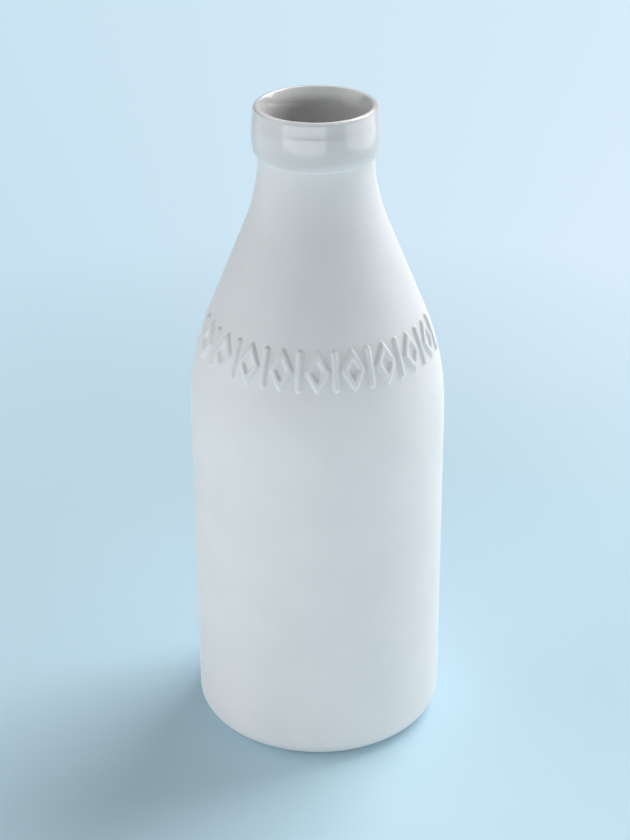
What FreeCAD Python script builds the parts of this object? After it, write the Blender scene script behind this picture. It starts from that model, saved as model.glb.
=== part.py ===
import FreeCAD, Part
import math
import os

# Cast ceramic bottle in the form of a one-pint milk bottle: bare biscuit outside,
# glazed inside and over the lip and collar. Millimetres, +Z up, the origin is the
# middle of the foot on the surface it stands on, and the front faces -Y.

# Outside of the body
body_radius = 39.0
heel_radius = 6.0
side_height = 106.4            # top of the straight side
shoulder_radius = 83.3         # convex curve from the side into the slope
shoulder_slope_deg = 22.1      # straight slope, measured from upright
neck_curve_radius = 57.6       # concave curve from the slope into the neck
neck_radius = 17.0             # at the waist, just inside the collar

# Walls
wall_thickness = 3.0
glaze_thickness = 0.3
floor_thickness = 4.0
inner_heel_radius = 9.0

# Foot
foot_ring_width = 6.0
foot_recess = 1.5              # rise of the domed underside at its middle

# Collar and lip, over the glaze
collar_overhang = 1.8          # of the collar's side beyond the neck
collar_barrel_radius = 40.0    # gentle bulge of the collar's side
collar_lower_round = 5.0
collar_upper_round = 2.5
collar_lower_rise = 2.7        # centre of the lower round above the neck's waist
collar_side_height = 6.4       # between the centres of the two rounds
ledge_fillet = 0.8             # where the collar meets the neck
groove_radius = 25.0           # faint hollow between collar and lip
lip_bead_radius = 1.1
lip_bead_rise = 4.1            # centre of the bead above that of the upper round
lip_set_back = 1.7             # crest of the lip in from the collar's side
mouth_flare_radius = 10.0      # from the lip down into the bore

# Raised frieze on the front of the shoulder: open lozenges between upright bars
relief_height = 0.8
relief_rise = 21.4             # foot of the frieze above the top of the side
relief_tall = 11.3
relief_stroke = 1.5
lozenge_width = 6.4
relief_gap = 1.3               # between a lozenge and the bar beside it
lozenge_count = 9

# Levels and bends that follow from the sizes above
slope = math.radians(shoulder_slope_deg)
bends = shoulder_radius + neck_curve_radius
slope_length = (body_radius - neck_radius - bends * (1 - math.cos(slope))) / math.sin(slope)
neck_level = side_height + bends * math.sin(slope) + slope_length * math.cos(slope)
inside = wall_thickness + glaze_thickness
floor_level = foot_recess + floor_thickness


def polar(centre, radius, angle):
    return (centre[0] + radius * math.cos(angle), centre[1] + radius * math.sin(angle))


def towards(start, goal, distance):
    gap = math.dist(start, goal)
    return tuple(s + (g - s) * distance / gap for s, g in zip(start, goal))


def meeting(first, first_distance, second, second_distance, side):
    """Point at a distance from each of two centres, to the right (1) or left (-1) of the line between."""
    gap = math.dist(first, second)
    along = (first_distance ** 2 - second_distance ** 2 + gap ** 2) / (2 * gap)
    across = side * math.sqrt(first_distance ** 2 - along ** 2)
    ahead = ((second[0] - first[0]) / gap, (second[1] - first[1]) / gap)
    return (first[0] + ahead[0] * along + ahead[1] * across,
            first[1] + ahead[1] * along - ahead[0] * across)


def point(place):
    return FreeCAD.Vector(place[0], 0, place[1])


def line(start, end):
    return Part.LineSegment(point(start), point(end)).toShape()


def arc(start, end, centre):
    radius = math.dist(start, centre)
    half = ((start[0] + end[0]) / 2, (start[1] + end[1]) / 2)
    return Part.Arc(point(start), point(towards(centre, half, radius)), point(end)).toShape()


def turned(edges):
    wire = Part.Wire(Part.__sortEdges__(edges))
    return Part.Face(wire).revolve(FreeCAD.Vector(0, 0, 0), FreeCAD.Vector(0, 0, 1), 360)


# Centres of the curves, as (radius, height)
shoulder_centre = (body_radius - shoulder_radius, side_height)
neck_centre = (neck_radius + neck_curve_radius, neck_level)
collar_radius = neck_radius + collar_overhang
lower_level = neck_level + collar_lower_rise
upper_level = lower_level + collar_side_height
barrel_centre = (collar_radius - collar_barrel_radius, (lower_level + upper_level) / 2)
barrel_half = collar_side_height / 2
lower_reach = math.sqrt((collar_barrel_radius - collar_lower_round) ** 2 - barrel_half ** 2)
upper_reach = math.sqrt((collar_barrel_radius - collar_upper_round) ** 2 - barrel_half ** 2)
lower_centre = (barrel_centre[0] + lower_reach, lower_level)
upper_centre = (barrel_centre[0] + upper_reach, upper_level)
bead_centre = (collar_radius - lip_set_back, upper_level + lip_bead_rise)
groove_centre = meeting(upper_centre, collar_upper_round + groove_radius,
                        bead_centre, lip_bead_radius + groove_radius, 1)
biscuit_lower = collar_lower_round - glaze_thickness
ledge_centre = meeting(lower_centre, biscuit_lower + ledge_fillet,
                       neck_centre, neck_curve_radius - ledge_fillet, 1)
bore_radius = neck_radius - inside
flare_reach = mouth_flare_radius - lip_bead_radius
flare_offset = bore_radius + mouth_flare_radius - bead_centre[0]
flare_drop = math.sqrt(flare_reach ** 2 - flare_offset ** 2)
flare_centre = (bore_radius + mouth_flare_radius, bead_centre[1] - flare_drop)
rim_height = bead_centre[1] + lip_bead_radius


def shoulder_edges(inset):
    """Side top to neck slope, moved in from the outer surface by inset, and its two ends."""
    side_top = (body_radius - inset, side_height)
    shoulder_end = polar(shoulder_centre, shoulder_radius - inset, slope)
    neck_start = polar(neck_centre, neck_curve_radius + inset, slope + math.pi)
    edges = [arc(side_top, shoulder_end, shoulder_centre), line(shoulder_end, neck_start)]
    return edges, side_top, neck_start


def collar_edges(inset):
    """Collar and outer half of the lip, moved in by inset, from the hem of the glaze up to the crest."""
    lower = collar_lower_round - inset
    upper = collar_upper_round - inset
    bead = lip_bead_radius - inset
    hem = towards(lower_centre, ledge_centre, lower)
    barrel_foot = towards(barrel_centre, lower_centre, collar_barrel_radius - inset)
    barrel_top = towards(barrel_centre, upper_centre, collar_barrel_radius - inset)
    groove_foot = towards(upper_centre, groove_centre, upper)
    groove_top = towards(bead_centre, groove_centre, bead)
    crest = (bead_centre[0], bead_centre[1] + bead)
    edges = [arc(hem, barrel_foot, lower_centre), arc(barrel_foot, barrel_top, barrel_centre),
             arc(barrel_top, groove_foot, upper_centre), arc(groove_foot, groove_top, groove_centre),
             arc(groove_top, crest, bead_centre)]
    return edges, hem, crest


def inner_edges(inset, cover):
    """Inside from the crest to the middle of the floor: inset by the wall, with cover of glaze left off."""
    bead = lip_bead_radius - cover
    crest = (bead_centre[0], bead_centre[1] + bead)
    flare_top = towards(flare_centre, bead_centre, mouth_flare_radius - cover)
    bore_top = (neck_radius - inset, flare_centre[1])
    bore_foot = (neck_radius - inset, neck_level)
    slope_edges, side_top, neck_start = shoulder_edges(inset)
    floor = floor_level + glaze_thickness - cover
    heel = inner_heel_radius + cover
    heel_centre = (body_radius - inset - heel, floor + heel)
    heel_top = (body_radius - inset, floor + heel)
    heel_foot = (heel_centre[0], floor)
    floor_middle = (0, floor)
    edges = [arc(crest, flare_top, bead_centre), arc(flare_top, bore_top, flare_centre),
             line(bore_top, bore_foot), arc(bore_foot, neck_start, neck_centre)]
    edges += slope_edges
    edges += [line(side_top, heel_top), arc(heel_top, heel_foot, heel_centre),
              line(heel_foot, floor_middle)]
    return edges, crest, floor_middle


def make_bottle_body():
    """Biscuit shell: domed foot, heel, side, shoulder, neck, collar and lip, open at the mouth."""
    ring_outside = body_radius - heel_radius
    ring_inside = ring_outside - foot_ring_width
    dome_radius = (ring_inside ** 2 + foot_recess ** 2) / (2 * foot_recess)
    dome_middle = (0, foot_recess)
    heel_centre = (ring_outside, heel_radius)
    slope_edges, side_top, neck_start = shoulder_edges(0)
    ledge_foot = towards(neck_centre, ledge_centre, neck_curve_radius)
    collar, hem, crest = collar_edges(glaze_thickness)
    hollow, crest, floor_middle = inner_edges(wall_thickness, glaze_thickness)
    edges = [arc(dome_middle, (ring_inside, 0), (0, foot_recess - dome_radius)),
             line((ring_inside, 0), (ring_outside, 0)),
             arc((ring_outside, 0), (body_radius, heel_radius), heel_centre),
             line((body_radius, heel_radius), side_top)]
    edges += slope_edges
    edges += [arc(neck_start, ledge_foot, neck_centre), arc(ledge_foot, hem, ledge_centre)]
    edges += collar + hollow
    edges += [line(floor_middle, dome_middle)]
    return turned(edges)


def make_collar_glaze():
    """Glaze dipped over the lip and collar, ending in a hem under the collar."""
    face, hem, crest = collar_edges(0)
    back, back_hem, back_crest = collar_edges(glaze_thickness)
    return turned(face + back + [line(hem, back_hem), line(crest, back_crest)])


def make_interior_glaze():
    """Glaze poured inside, from the crest of the lip to the floor."""
    face, crest, middle = inner_edges(inside, 0)
    back, back_crest, back_middle = inner_edges(wall_thickness, glaze_thickness)
    return turned(face + back + [line(crest, back_crest), line(middle, back_middle)])


def prism(corners, azimuth):
    """Upright outline of (sideways, height) corners, pushed through the shoulder along its own radius."""
    places = [FreeCAD.Vector(neck_radius, across, height) for across, height in corners]
    outline = Part.Face(Part.makePolygon(places + places[:1]))
    solid = outline.extrude(FreeCAD.Vector(body_radius, 0, 0))
    solid.rotate(FreeCAD.Vector(0, 0, 0), FreeCAD.Vector(0, 0, 1), azimuth)
    return solid


def lozenge(half_width, half_tall, middle):
    return [(half_width, middle), (0, middle + half_tall), (-half_width, middle), (0, middle - half_tall)]


def make_shoulder_relief():
    """Frieze that follows the double curve of the shoulder, one solid to each lozenge and bar."""
    under, under_low, under_high = shoulder_edges(0)
    over, over_low, over_high = shoulder_edges(-relief_height)
    layer = turned(under + over + [line(under_low, over_low), line(under_high, over_high)])
    foot = side_height + relief_rise
    middle = foot + relief_tall / 2
    half_width = lozenge_width / 2
    half_tall = relief_tall / 2
    side_distance = half_width * half_tall / math.hypot(half_width, half_tall)
    hole = 1 - relief_stroke / side_distance
    rise = math.asin((middle - side_height) / shoulder_radius)
    frieze_radius = shoulder_centre[0] + shoulder_radius * math.cos(rise)
    step = math.degrees((lozenge_width + relief_stroke + 2 * relief_gap) / frieze_radius)
    front = -90
    first = front - step * (lozenge_count - 1) / 2
    marks = []
    for index in range(lozenge_count):
        frame = prism(lozenge(half_width, half_tall, middle), first + index * step)
        opening = prism(lozenge(half_width * hole, half_tall * hole, middle), first + index * step)
        marks.append(frame.cut(opening).common(layer))
    bar = [(-relief_stroke / 2, foot), (relief_stroke / 2, foot),
           (relief_stroke / 2, foot + relief_tall), (-relief_stroke / 2, foot + relief_tall)]
    for index in range(lozenge_count + 1):
        marks.append(prism(bar, first + (index - 0.5) * step).common(layer))
    return Part.Compound([solid for mark in marks for solid in mark.Solids])


pieces = {
    "bottle_body": make_bottle_body(),
    "collar_glaze": make_collar_glaze(),
    "interior_glaze": make_interior_glaze(),
    "shoulder_relief": make_shoulder_relief(),
}

os.makedirs("parts", exist_ok=True)
for name, shape in pieces.items():
    shape.exportStep("parts/" + name + ".step")
    print(name, "valid" if shape.isValid() else "not valid", len(shape.Solids), "solids",
          round(shape.Volume / 1000, 2), "ml of material")
print("rim at", round(rim_height, 2), "bore radius", round(bore_radius, 2),
      "straight from", round(neck_level, 2), "to", round(flare_centre[1], 2))
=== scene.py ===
import math

import bmesh
import bpy
from mathutils import Matrix, Vector


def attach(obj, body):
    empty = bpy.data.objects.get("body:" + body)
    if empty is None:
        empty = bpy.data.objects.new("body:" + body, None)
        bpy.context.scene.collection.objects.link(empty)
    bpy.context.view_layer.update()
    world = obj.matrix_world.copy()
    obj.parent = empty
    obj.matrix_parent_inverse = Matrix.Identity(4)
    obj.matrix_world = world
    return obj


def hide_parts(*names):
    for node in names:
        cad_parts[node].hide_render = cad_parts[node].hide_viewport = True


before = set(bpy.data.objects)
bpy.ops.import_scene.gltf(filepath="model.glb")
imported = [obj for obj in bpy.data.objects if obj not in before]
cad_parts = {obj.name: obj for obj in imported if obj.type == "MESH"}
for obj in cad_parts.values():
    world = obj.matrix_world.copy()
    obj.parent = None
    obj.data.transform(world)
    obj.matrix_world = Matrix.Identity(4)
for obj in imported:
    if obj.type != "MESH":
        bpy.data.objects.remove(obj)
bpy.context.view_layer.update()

# Ceramic milk bottle: bare biscuit shell with a raised frieze, gloss glaze inside and over the collar.
# Profiles are written in millimetres as (radius, height) and turned into metres when a mesh is made.
mm = 0.001
scene = bpy.context.scene
scene.view_settings.view_transform = "Standard"


def onCircle(centre, radius, degrees):
    angle = math.radians(degrees)
    return (centre[0] + radius * math.cos(angle), centre[1] + radius * math.sin(angle))


def curve(centre, radius, start, end, steps):
    return [onCircle(centre, radius, start + (end - start) * i / steps) for i in range(steps + 1)]


def straight(start, end, steps):
    return [tuple(a + (b - a) * i / steps for a, b in zip(start, end)) for i in range(steps + 1)]


def bearing(start, end):
    return math.degrees(math.atan2(end[1] - start[1], end[0] - start[0]))


def tangentCentre(first, firstReach, second, secondReach):
    # centre of a small round that touches two others, on the outer side
    gap = math.dist(first, second)
    along = (firstReach ** 2 - secondReach ** 2 + gap ** 2) / (2 * gap)
    across = math.sqrt(firstReach ** 2 - along ** 2)
    ahead = ((second[0] - first[0]) / gap, (second[1] - first[1]) / gap)
    foot = (first[0] + ahead[0] * along, first[1] + ahead[1] * along)
    return (foot[0] + ahead[1] * across, foot[1] - ahead[0] * across)


# the bottle's own sizes, shared by shell and glaze
form = {
    "bodyRadius": 39.0,
    "heelRadius": 6.0,
    "sideTop": 106.4,
    "shoulderRadius": 83.3,
    "slope": 22.1,             # degrees from upright
    "neckCurve": 57.6,
    "neckRadius": 17.0,
    "wall": 3.0,
    "glaze": 0.3,
    "innerHeel": 9.0,
    "floor": 5.5,              # top of the biscuit floor
    "footRing": 6.0,
    "footRecess": 1.5,
    "collarOverhang": 1.8,
    "barrel": 40.0,            # radius of the collar's bulging side
    "lowerRound": 5.0,
    "upperRound": 2.5,
    "lowerRise": 2.7,
    "collarSide": 6.4,
    "ledge": 0.8,
    "groove": 25.0,            # radius of the hollow under the lip
    "bead": 1.1,
    "beadRise": 4.1,
    "lipSetBack": 1.7,
    "flare": 10.0,
}

bends = form["shoulderRadius"] + form["neckCurve"]
slopeAngle = math.radians(form["slope"])
slopeInset = form["bodyRadius"] - form["neckRadius"] - bends * (1 - math.cos(slopeAngle))
slopeLength = slopeInset / math.sin(slopeAngle)
neckLevel = form["sideTop"] + bends * math.sin(slopeAngle) + slopeLength * math.cos(slopeAngle)
collarRadius = form["neckRadius"] + form["collarOverhang"]
lowerLevel = neckLevel + form["lowerRise"]
upperLevel = lowerLevel + form["collarSide"]
halfSide = form["collarSide"] / 2

shoulderCentre = (form["bodyRadius"] - form["shoulderRadius"], form["sideTop"])
neckCentre = (form["neckRadius"] + form["neckCurve"], neckLevel)
barrelCentre = (collarRadius - form["barrel"], lowerLevel + halfSide)
lowerReach = math.sqrt((form["barrel"] - form["lowerRound"]) ** 2 - halfSide ** 2)
upperReach = math.sqrt((form["barrel"] - form["upperRound"]) ** 2 - halfSide ** 2)
lowerCentre = (barrelCentre[0] + lowerReach, lowerLevel)
upperCentre = (barrelCentre[0] + upperReach, upperLevel)
beadCentre = (collarRadius - form["lipSetBack"], upperLevel + form["beadRise"])
grooveCentre = tangentCentre(upperCentre, form["upperRound"] + form["groove"],
                             beadCentre, form["bead"] + form["groove"])
ledgeCentre = tangentCentre(lowerCentre, form["lowerRound"] - form["glaze"] + form["ledge"],
                            neckCentre, form["neckCurve"] - form["ledge"])
boreRadius = form["neckRadius"] - form["wall"] - form["glaze"]
flareAside = boreRadius + form["flare"] - beadCentre[0]
flareDrop = math.sqrt((form["flare"] - form["bead"]) ** 2 - flareAside ** 2)
flareCentre = (boreRadius + form["flare"], beadCentre[1] - flareDrop)
hemAngle = bearing(lowerCentre, ledgeCentre)

# how many spans the straight stretches inside are cut into
insideCuts = {
    "bore": 2,
    "slope": 3,
    "side": 4,
    "floor": 4,
}


def collarLine(inset, steps, fromAngle):
    # from under the collar up to the crest of the lip
    footAngle = bearing(barrelCentre, lowerCentre)
    topAngle = bearing(barrelCentre, upperCentre)
    grooveAngle = bearing(upperCentre, grooveCentre)
    beadAngle = bearing(beadCentre, grooveCentre)
    line = curve(lowerCentre, form["lowerRound"] - inset, fromAngle, footAngle, steps)
    line += curve(barrelCentre, form["barrel"] - inset, footAngle, topAngle, steps)[1:]
    line += curve(upperCentre, form["upperRound"] - inset, topAngle, grooveAngle, steps)[1:]
    line += curve(grooveCentre, form["groove"] + inset, grooveAngle - 180, beadAngle - 180, steps)[1:]
    line += curve(beadCentre, form["bead"] - inset, beadAngle, 90, 2 * steps)[1:]
    return line


def insideLine(cover, steps):
    # from the crest of the lip down to the middle of the floor; cover is the glaze left off
    inset = form["wall"] + form["glaze"] - cover
    flareAngle = bearing(flareCentre, beadCentre)
    line = curve(beadCentre, form["bead"] - cover, 90, flareAngle, steps)[1:]
    line += curve(flareCentre, form["flare"] - cover, flareAngle, 180, 2 * steps)[1:]
    line += straight(line[-1], (form["neckRadius"] - inset, neckLevel), insideCuts["bore"])[1:]
    line += curve(neckCentre, form["neckCurve"] + inset, 180, 180 + form["slope"], steps)[1:]
    slopeFoot = onCircle(shoulderCentre, form["shoulderRadius"] - inset, form["slope"])
    line += straight(line[-1], slopeFoot, insideCuts["slope"])[1:]
    line += curve(shoulderCentre, form["shoulderRadius"] - inset, form["slope"], 0, steps)[1:]
    heel = form["innerHeel"] + cover
    floor = form["floor"] + form["glaze"] - cover
    heelCentre = (form["bodyRadius"] - inset - heel, floor + heel)
    line += straight(line[-1], (form["bodyRadius"] - inset, heelCentre[1]), insideCuts["side"])[1:]
    line += curve(heelCentre, heel, 0, -90, 2 * steps)[1:]
    line += straight(line[-1], (0.0, floor), insideCuts["floor"])[1:]
    return line


def turnPiece(name, line, angles, swell):
    # turns a line that starts and ends on the axis; angles run from the front, -Y, towards +X
    points = [(0.0, 0.0, line[0][1] * mm)]
    rings = line[1:-1]
    for radius, height in rings:
        for angle in angles:
            r, z = swell(radius, height, angle)
            points.append((r * math.sin(angle) * mm, -r * math.cos(angle) * mm, z * mm))
    points.append((0.0, 0.0, line[-1][1] * mm))
    count = len(angles)
    last = len(points) - 1
    faces = []
    for i in range(count):
        j = (i + 1) % count
        faces.append((0, 1 + j, 1 + i))
        faces.append((last, last - count + i, last - count + j))
        for k in range(len(rings) - 1):
            low = 1 + k * count
            faces.append((low + i, low + j, low + count + j, low + count + i))
    mesh = bpy.data.meshes.new(name)
    mesh.from_pydata(points, [], faces)
    work = bmesh.new()
    work.from_mesh(mesh)
    bmesh.ops.recalc_face_normals(work, faces=work.faces)
    work.to_mesh(mesh)
    work.free()
    mesh.shade_smooth()
    piece = bpy.data.objects.new(name, mesh)
    scene.collection.objects.link(piece)
    return piece


# raised frieze: open lozenges between upright bars on the front of the shoulder
frieze = {
    "count": 9,                # lozenges
    "foot": 127.8,
    "tall": 11.3,
    "lozengeWidth": 6.4,
    "stroke": 1.5,
    "gap": 1.3,
    "raise": 0.85,
    "soft": 0.42,              # how far the cast edge is rounded over
    "tip": 0.35,               # rounding of the lozenge's corners
    "tipPull": 0.6,            # share of that rounding taken back, to keep the lozenge's size
    "margin": 1.0,             # how far past its ends the frieze is looked for
    "fineMargin": 0.8,         # how far past its ends the shell is cut finely
}
friezeMiddle = frieze["foot"] + frieze["tall"] / 2
friezeRise = math.asin((friezeMiddle - form["sideTop"]) / form["shoulderRadius"])
friezeRadius = shoulderCentre[0] + form["shoulderRadius"] * math.cos(friezeRise)
friezeStep = (frieze["lozengeWidth"] + frieze["stroke"] + 2 * frieze["gap"]) / friezeRadius
halfWide = frieze["lozengeWidth"] / 2
halfTall = frieze["tall"] / 2
sideReach = halfWide * halfTall / math.hypot(halfWide, halfTall)


def strokeDistance(across, up, isBar):
    # how far a spot lies from the middle of the nearest stroke
    if isBar:
        past = abs(up) - (halfTall - frieze["stroke"] / 2)
        return math.hypot(across, max(past, 0.0))
    wide = math.hypot(across, frieze["tip"]) - frieze["tip"] * frieze["tipPull"]
    tall = math.hypot(up, frieze["tip"]) - frieze["tip"] * frieze["tipPull"]
    return abs((wide / halfWide + tall / halfTall - 1) * sideReach + frieze["stroke"] / 2)


def friezeHeight(radius, height, angle):
    up = height - friezeMiddle
    if abs(up) > halfTall + frieze["margin"]:
        return 0.0
    nearest = math.inf
    half = round(angle / (friezeStep / 2))
    for k in (half - 1, half, half + 1):
        isBar = (k + frieze["count"]) % 2 == 0
        if abs(k) > frieze["count"]:
            continue
        across = radius * math.sin(angle - k * friezeStep / 2)
        nearest = min(nearest, strokeDistance(across, up, isBar))
    t = (frieze["stroke"] / 2 + frieze["soft"] - nearest) / (2 * frieze["soft"])
    t = min(max(t, 0.0), 1.0)
    return frieze["raise"] * t * t * (3 - 2 * t)


def shellSwell(radius, height, angle):
    # moves the outside of the shoulder out along its own normal where the frieze stands
    aside = radius - shoulderCentre[0]
    above = height - shoulderCentre[1]
    tilt = min(math.atan2(above, aside), slopeAngle)
    reach = aside * math.cos(tilt) + above * math.sin(tilt)
    if reach < form["shoulderRadius"] - form["wall"] / 2:  # the inside of the wall stays even
        return radius, height
    lift = friezeHeight(radius, height, angle)
    return radius + lift * math.cos(tilt), height + lift * math.sin(tilt)


# how finely the shell is cut: spans along its outline, then degrees round its axis
shellCuts = {
    "dome": 6,
    "footRing": 3,
    "heel": 12,
    "side": 10,
    "shoulder": 8,
    "friezeBand": 48,
    "friezeTop": 10,
    "slope": 6,
    "neck": 14,
    "ledge": 6,
    "hidden": 4,               # each round that lies under the glaze
    "front": 82.0,             # the frieze's side, to either hand
    "frontStep": 0.4,
    "backStep": 4.0,
}


def shellLine():
    ringOutside = form["bodyRadius"] - form["heelRadius"]
    ringInside = ringOutside - form["footRing"]
    recess = form["footRecess"]
    dome = (ringInside ** 2 + recess ** 2) / (2 * recess)
    domeEdge = math.degrees(math.asin(ringInside / dome))
    line = curve((0.0, recess - dome), dome, 90, 90 - domeEdge, shellCuts["dome"])
    line += straight(line[-1], (ringOutside, 0.0), shellCuts["footRing"])[1:]
    heelCentre = (ringOutside, form["heelRadius"])
    line += curve(heelCentre, form["heelRadius"], -90, 0, shellCuts["heel"])[1:]
    line += straight(line[-1], (form["bodyRadius"], form["sideTop"]), shellCuts["side"])[1:]
    # the shoulder is cut finely where the frieze stands
    friezeFoot = frieze["foot"] - frieze["fineMargin"]
    friezeLow = math.degrees(math.asin((friezeFoot - form["sideTop"]) / form["shoulderRadius"]))
    line += curve(shoulderCentre, form["shoulderRadius"], 0, friezeLow, shellCuts["shoulder"])[1:]
    line += curve(shoulderCentre, form["shoulderRadius"], friezeLow, form["slope"],
                  shellCuts["friezeBand"])[1:]
    friezeTop = frieze["foot"] + frieze["tall"] + frieze["fineMargin"]
    overTop = (line[-1][0] - (friezeTop - line[-1][1]) * math.tan(slopeAngle), friezeTop)
    line += straight(line[-1], overTop, shellCuts["friezeTop"])[1:]
    neckStart = onCircle(neckCentre, form["neckCurve"], 180 + form["slope"])
    line += straight(line[-1], neckStart, shellCuts["slope"])[1:]
    neckEnd = bearing(neckCentre, ledgeCentre) % 360
    line += curve(neckCentre, form["neckCurve"], 180 + form["slope"], neckEnd, shellCuts["neck"])[1:]
    line += curve(ledgeCentre, form["ledge"], neckEnd, hemAngle + 180, shellCuts["ledge"])[1:]
    line += collarLine(form["glaze"], shellCuts["hidden"], hemAngle)[1:]
    line += insideLine(form["glaze"], shellCuts["hidden"])
    return line


def shellAngles():
    # fine across the frieze, coarser round the plain back
    edge = shellCuts["front"]
    fine = shellCuts["frontStep"]
    coarse = shellCuts["backStep"]
    fineCount = round(2 * edge / fine) + 1
    coarseCount = round((360 - 2 * edge) / coarse) - 1
    front = [math.radians(-edge + fine * i) for i in range(fineCount)]
    back = [math.radians(edge + coarse + coarse * i) for i in range(coarseCount)]
    return front + back


# how the glaze lies and how finely it is cut
coat = {
    "hemSpan": 8.0,            # degrees of the lower round over which the coat thins out
    "unevenDrop": 12.0,        # how far below the collar's upper round it lies unevenly
    "boreSlack": 0.1,
    "broadDrift": 0.035,
    "broadWaves": 3,
    "broadTurn": 0.6,
    "fineDrift": 0.02,
    "fineWaves": 7,
    "fineTwist": 0.4,
    "faceCuts": 10,
    "backCuts": 6,
    "hemCuts": 8,
    "angleStep": 1.5,          # degrees round the axis
}


def glazeLine():
    thick = form["glaze"]
    hemStart = hemAngle + coat["hemSpan"]
    line = insideLine(0.0, coat["faceCuts"])[::-1]
    line.append((beadCentre[0], beadCentre[1] + form["bead"]))
    line += collarLine(0.0, coat["faceCuts"], hemStart)[::-1][1:]
    # the coat thins out to a rounded hem on the underside of the collar
    for i in range(1, coat["hemCuts"] + 1):
        u = i / coat["hemCuts"]
        reach = form["lowerRound"] - thick + thick * math.sqrt(1 - u * u)
        line.append(onCircle(lowerCentre, reach, hemStart - coat["hemSpan"] * u))
    line += collarLine(thick, coat["backCuts"], hemAngle)[1:]
    line += insideLine(thick, coat["backCuts"])
    return line


def glazeSwell(radius, height, angle):
    # the coat lies a little unevenly over lip and collar
    if height < upperLevel - coat["unevenDrop"] or radius < boreRadius - coat["boreSlack"]:
        return radius, height
    broad = coat["broadDrift"] * math.sin(coat["broadWaves"] * angle + coat["broadTurn"])
    fine = coat["fineDrift"] * math.sin(coat["fineWaves"] * angle + height * coat["fineTwist"])
    return radius + (broad + fine), height


def glazeAngles():
    step = coat["angleStep"]
    return [math.radians(step * i) for i in range(round(360 / step))]


shell = turnPiece("bottle_shell", shellLine(), shellAngles(), shellSwell)
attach(shell, "root")
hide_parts("bottle_body", "shoulder_relief")
print("shell turned:", len(shell.data.vertices), "points")

glazeCoat = turnPiece("glaze_coat", glazeLine(), glazeAngles(), glazeSwell)
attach(glazeCoat, "root")
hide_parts("collar_glaze", "interior_glaze")
print("glaze turned:", len(glazeCoat.data.vertices), "points")


def newFinish(name):
    finish = bpy.data.materials.new(name)
    finish.use_nodes = True
    nodes = finish.node_tree.nodes
    shader = nodes["Principled BSDF"]
    place = nodes.new("ShaderNodeTexCoord")
    return finish, nodes, finish.node_tree.links, shader, place.outputs["Object"]


def noiseNode(nodes, links, place, scale, detail):
    noise = nodes.new("ShaderNodeTexNoise")
    noise.inputs["Scale"].default_value = scale
    noise.inputs["Detail"].default_value = detail
    links.new(place, noise.inputs["Vector"])
    return noise.outputs["Fac"]


def rampNode(nodes, links, source, lowTint, highTint, spread=(0.0, 1.0)):
    ramp = nodes.new("ShaderNodeValToRGB")
    for stop, spot, tint in zip(ramp.color_ramp.elements, spread, (lowTint, highTint)):
        stop.position = spot
        stop.color = (*tint, 1.0)
    links.new(source, ramp.inputs["Fac"])
    return ramp.outputs["Color"]


def spanNode(nodes, links, source, low, high, start=0.0, end=1.0):
    span = nodes.new("ShaderNodeMapRange")
    span.inputs["From Min"].default_value = start
    span.inputs["From Max"].default_value = end
    span.inputs["To Min"].default_value = low
    span.inputs["To Max"].default_value = high
    links.new(source, span.inputs["Value"])
    return span.outputs["Result"]


def mathNode(nodes, links, operation, first, second):
    step = nodes.new("ShaderNodeMath")
    step.operation = operation
    links.new(first, step.inputs[0])
    links.new(second, step.inputs[1])
    return step.outputs["Value"]


def splitNode(nodes, links, vector):
    split = nodes.new("ShaderNodeSeparateXYZ")
    links.new(vector, split.inputs["Vector"])
    return split.outputs


def bumpNode(nodes, links, source, strength, depth, under=None, sunk=False):
    bump = nodes.new("ShaderNodeBump")
    bump.invert = sunk
    bump.inputs["Strength"].default_value = strength
    bump.inputs["Distance"].default_value = depth
    links.new(source, bump.inputs["Height"])
    if under is not None:
        links.new(under, bump.inputs["Normal"])
    return bump.outputs["Normal"]


def blendNode(nodes, links, share, under, over):
    blend = nodes.new("ShaderNodeMix")
    blend.data_type = "RGBA"
    links.new(share, blend.inputs["Factor"])
    links.new(under, blend.inputs[6])  # 6 and 7 are the two colours
    blend.inputs[7].default_value = (*over, 1.0)
    return blend.outputs[2]


def shaderBlend(nodes, links, share, under, over, output):
    blend = nodes.new("ShaderNodeMixShader")
    links.new(share, blend.inputs["Fac"])
    links.new(under, blend.inputs[1])
    links.new(over, blend.inputs[2])
    links.new(blend.outputs["Shader"], output.inputs["Surface"])


biscuit = {
    "pale": (0.78, 0.785, 0.785),
    "grey": (0.743, 0.75, 0.753),
    # painted shade for the bottoms of the pinholes
    "pitShade": (0.52, 0.51, 0.49),
    # painted contact shade at the foot, just above the table
    "contactShade": (0.62, 0.615, 0.60),
    "roughLow": 0.52,
    "roughHigh": 0.66,
    "shine": 0.2,
    "cloudScale": 55.0,
    "cloudDetail": 4.0,
    "cloudSpread": (0.3, 0.7),
    "cloudBump": (0.12, 0.0006),   # strength, depth in metres
    "grainScale": 2600.0,
    "grainDetail": 3.0,
    "grainBump": (0.1, 0.00008),
    "speckScale": 170.0,
    "speckSize": 0.04,         # share of the space between two specks
    "speckBump": (0.3, 0.0001),
    "contactShadeTop": 0.0014,       # metres up the heel
    "contactShadeShare": 0.8,
    "contactShadePatches": (0.3, 1.2, 0.3, 0.7),  # weakest, strongest, and the span of grain between them
}


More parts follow.
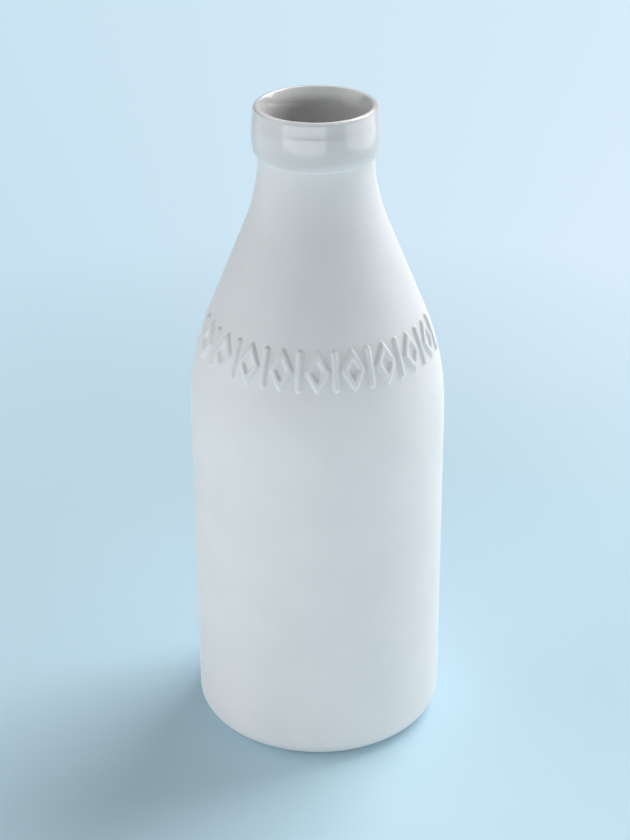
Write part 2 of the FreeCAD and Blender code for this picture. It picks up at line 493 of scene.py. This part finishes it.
def biscuitFinish():
    finish, nodes, links, shader, place = newFinish("bare_biscuit")
    clouds = noiseNode(nodes, links, place, biscuit["cloudScale"], biscuit["cloudDetail"])
    grain = noiseNode(nodes, links, place, biscuit["grainScale"], biscuit["grainDetail"])
    tint = rampNode(nodes, links, clouds, biscuit["grey"], biscuit["pale"], biscuit["cloudSpread"])
    # a few tiny pinholes, their bottoms darkened with painted shade
    cells = nodes.new("ShaderNodeTexVoronoi")
    cells.inputs["Scale"].default_value = biscuit["speckScale"]
    links.new(place, cells.inputs["Vector"])
    pits = spanNode(nodes, links, cells.outputs["Distance"], 1.0, 0.0, end=biscuit["speckSize"])
    tint = blendNode(nodes, links, pits, tint, biscuit["pitShade"])
    # painted contact shade: the foot is made darker grey, in patches, where it meets the table
    height = splitNode(nodes, links, place)["Z"]
    low = spanNode(nodes, links, height, biscuit["contactShadeShare"], 0.0, end=biscuit["contactShadeTop"])
    patches = spanNode(nodes, links, grain, *biscuit["contactShadePatches"])
    contactShadeMask = mathNode(nodes, links, "MULTIPLY", low, patches)
    tint = blendNode(nodes, links, contactShadeMask, tint, biscuit["contactShade"])
    links.new(tint, shader.inputs["Base Color"])
    rough = spanNode(nodes, links, grain, biscuit["roughLow"], biscuit["roughHigh"])
    links.new(rough, shader.inputs["Roughness"])
    swells = bumpNode(nodes, links, clouds, *biscuit["cloudBump"])
    pitted = bumpNode(nodes, links, pits, *biscuit["speckBump"], under=swells, sunk=True)
    grained = bumpNode(nodes, links, grain, *biscuit["grainBump"], under=pitted)
    links.new(grained, shader.inputs["Normal"])
    shader.inputs["Specular IOR Level"].default_value = biscuit["shine"]
    return finish


glaze = {
    "pale": (0.69, 0.69, 0.685),
    "grey": (0.66, 0.66, 0.655),
    "roughLow": 0.12,
    "roughHigh": 0.2,
    "ior": 1.55,
    "cloudScale": 90.0,
    "cloudDetail": 3.0,
    "cloudSpread": (0.3, 0.7),
    "peelScale": 420.0,
    "peelDetail": 2.0,
    "peelBump": (0.08, 0.0002),    # strength, depth in metres
}


def glazeFinish():
    finish, nodes, links, shader, place = newFinish("gloss_glaze")
    clouds = noiseNode(nodes, links, place, glaze["cloudScale"], glaze["cloudDetail"])
    tint = rampNode(nodes, links, clouds, glaze["grey"], glaze["pale"], glaze["cloudSpread"])
    links.new(tint, shader.inputs["Base Color"])
    rough = spanNode(nodes, links, clouds, glaze["roughLow"], glaze["roughHigh"])
    links.new(rough, shader.inputs["Roughness"])
    peel = noiseNode(nodes, links, place, glaze["peelScale"], glaze["peelDetail"])
    links.new(bumpNode(nodes, links, peel, *glaze["peelBump"]), shader.inputs["Normal"])
    shader.inputs["IOR"].default_value = glaze["ior"]
    return finish


shell.data.materials.append(biscuitFinish())
glazeCoat.data.materials.append(glazeFinish())
print("finishes ready")

# table, light and camera
table = {
    "size": 8.0,
    "near": (0.60, 0.82, 0.93),
    "far": (0.63, 0.82, 0.93),
    "nearEdge": -0.1,
    "farEdge": 0.5,
    "rough": 0.9,
    "fadeStart": 0.16,         # metres from the bottle where the table starts to turn into the backdrop
    "fadeEnd": 0.4,
}
backdrop = {
    "left": (0.57, 0.75, 0.87),
    "right": (0.71, 0.86, 0.97),
    "turn": 0.4,               # how far round to each side the tone goes on changing
}


def backdropTint(nodes, links, direction):
    # paler towards the window side
    ahead = nodes.new("ShaderNodeVectorMath")
    ahead.operation = "NORMALIZE"
    links.new(direction, ahead.inputs[0])
    across = splitNode(nodes, links, ahead.outputs["Vector"])["X"]
    side = spanNode(nodes, links, across, 0.0, 1.0, -backdrop["turn"], backdrop["turn"])
    return rampNode(nodes, links, side, backdrop["left"], backdrop["right"])


def makeTable():
    mesh = bpy.data.meshes.new("table_top")
    half = table["size"] / 2
    corners = [(-half, -half, 0), (half, -half, 0), (half, half, 0), (-half, half, 0)]
    mesh.from_pydata(corners, [], [(0, 1, 2, 3)])
    top = bpy.data.objects.new("table_top", mesh)
    scene.collection.objects.link(top)
    finish, nodes, links, shader, place = newFinish("pale_table")
    away = splitNode(nodes, links, place)["Y"]
    depth = spanNode(nodes, links, away, 0.0, 1.0, table["nearEdge"], table["farEdge"])
    tint = rampNode(nodes, links, depth, table["near"], table["far"])
    links.new(tint, shader.inputs["Base Color"])
    shader.inputs["Roughness"].default_value = table["rough"]
    shader.inputs["Specular IOR Level"].default_value = 0.0
    # far from the bottle, the eye and the gloss see the plain backdrop
    reach = nodes.new("ShaderNodeVectorMath")
    reach.operation = "LENGTH"
    links.new(place, reach.inputs[0])
    fade = spanNode(nodes, links, reach.outputs["Value"], 0.0, 1.0, table["fadeStart"], table["fadeEnd"])
    paths = nodes.new("ShaderNodeLightPath").outputs
    seen = mathNode(nodes, links, "MAXIMUM", paths["Is Camera Ray"], paths["Is Glossy Ray"])
    share = mathNode(nodes, links, "MULTIPLY", fade, seen)
    plain = nodes.new("ShaderNodeEmission")
    links.new(backdropTint(nodes, links, place), plain.inputs["Color"])
    shaderBlend(nodes, links, share, shader.outputs["BSDF"], plain.outputs["Emission"],
                nodes["Material Output"])
    mesh.materials.append(finish)


makeTable()
print("table laid")

studio = {
    "lamps": {                 # place, width and height in metres, watts, colour
        "window": ((1.4, 1.4, 2.1), 2.0, 1.6, 66.0, (0.98, 0.97, 0.99)),
        "card_front": ((-0.17, -0.42, 0.1), 0.72, 0.18, 1.06, (0.99, 0.98, 0.98)),
        "card_left": ((-0.45, 0.0, 0.12), 0.7, 0.22, 0.34, (1.0, 0.97, 0.96)),
        "card_right": ((0.45, 0.0, 0.16), 0.7, 0.3, 1.32, (1.0, 1.0, 0.99)),
        "card_high": ((-1.35, 0.0, 0.85), 1.5, 1.2, 6.6, (1.0, 1.0, 1.0)),
    },
    "aim": (0.0, 0.0, 0.1),
    "shine": (0.94, 0.98, 1.0),  # what the glossy parts see around and above them
    "shineAround": 0.8,
    "shineAbove": 4.5,
    "shineLow": 0.3,           # height of the sky, as a share, where the shine starts to rise
    "shineHigh": 0.7,
}


def aimed(place, goal):
    direction = Vector(goal) - Vector(place)
    return direction.to_track_quat("-Z", "Y").to_euler()


def hangLamps():
    for name, (place, wide, tall, power, tint) in studio["lamps"].items():
        lamp = bpy.data.lights.new(name, "AREA")
        lamp.shape = "RECTANGLE"
        lamp.size = wide
        lamp.size_y = tall
        lamp.energy = power
        lamp.color = tint
        holder = bpy.data.objects.new(name, lamp)
        holder.location = place
        holder.rotation_euler = aimed(place, studio["aim"])
        scene.collection.objects.link(holder)


def fillAir():
    # the gloss sees a bright sky, the eye sees the backdrop
    world = bpy.data.worlds.new("studio_air")
    world.use_nodes = True
    nodes = world.node_tree.nodes
    links = world.node_tree.links
    paths = nodes.new("ShaderNodeLightPath").outputs
    around = nodes["Background"]
    around.inputs["Color"].default_value = (*studio["shine"], 1.0)
    direction = nodes.new("ShaderNodeTexCoord").outputs["Generated"]
    rise = splitNode(nodes, links, direction)["Z"]
    level = spanNode(nodes, links, rise, studio["shineAround"], studio["shineAbove"],
                     studio["shineLow"], studio["shineHigh"])
    gloss = mathNode(nodes, links, "MULTIPLY", level, paths["Is Glossy Ray"])
    links.new(gloss, around.inputs["Strength"])
    behind = nodes.new("ShaderNodeBackground")
    links.new(backdropTint(nodes, links, direction), behind.inputs["Color"])
    shaderBlend(nodes, links, paths["Is Camera Ray"], around.outputs["Background"],
                behind.outputs["Background"], nodes["World Output"])
    scene.world = world


hangLamps()
fillAir()
print("studio lit")

view = {
    "place": (-0.00078, -0.55095, 0.38372),
    "down": 27.21,             # degrees below level
    "roll": -0.33,
    "lens": 85.714,
    "sensor": 36.0,
    "nearest": 0.01,           # metres, the closest thing that is drawn
}


def placeCamera():
    lens = bpy.data.cameras.new("front_camera")
    lens.lens = view["lens"]
    lens.sensor_width = view["sensor"]
    lens.clip_start = view["nearest"]
    holder = bpy.data.objects.new("front_camera", lens)
    tilt = Matrix.Rotation(math.radians(90 - view["down"]), 4, "X")
    roll = Matrix.Rotation(math.radians(view["roll"]), 4, "Z")
    holder.location = view["place"]
    holder.rotation_euler = (tilt @ roll).to_euler()
    scene.collection.objects.link(holder)
    scene.camera = holder


placeCamera()
print("camera placed")
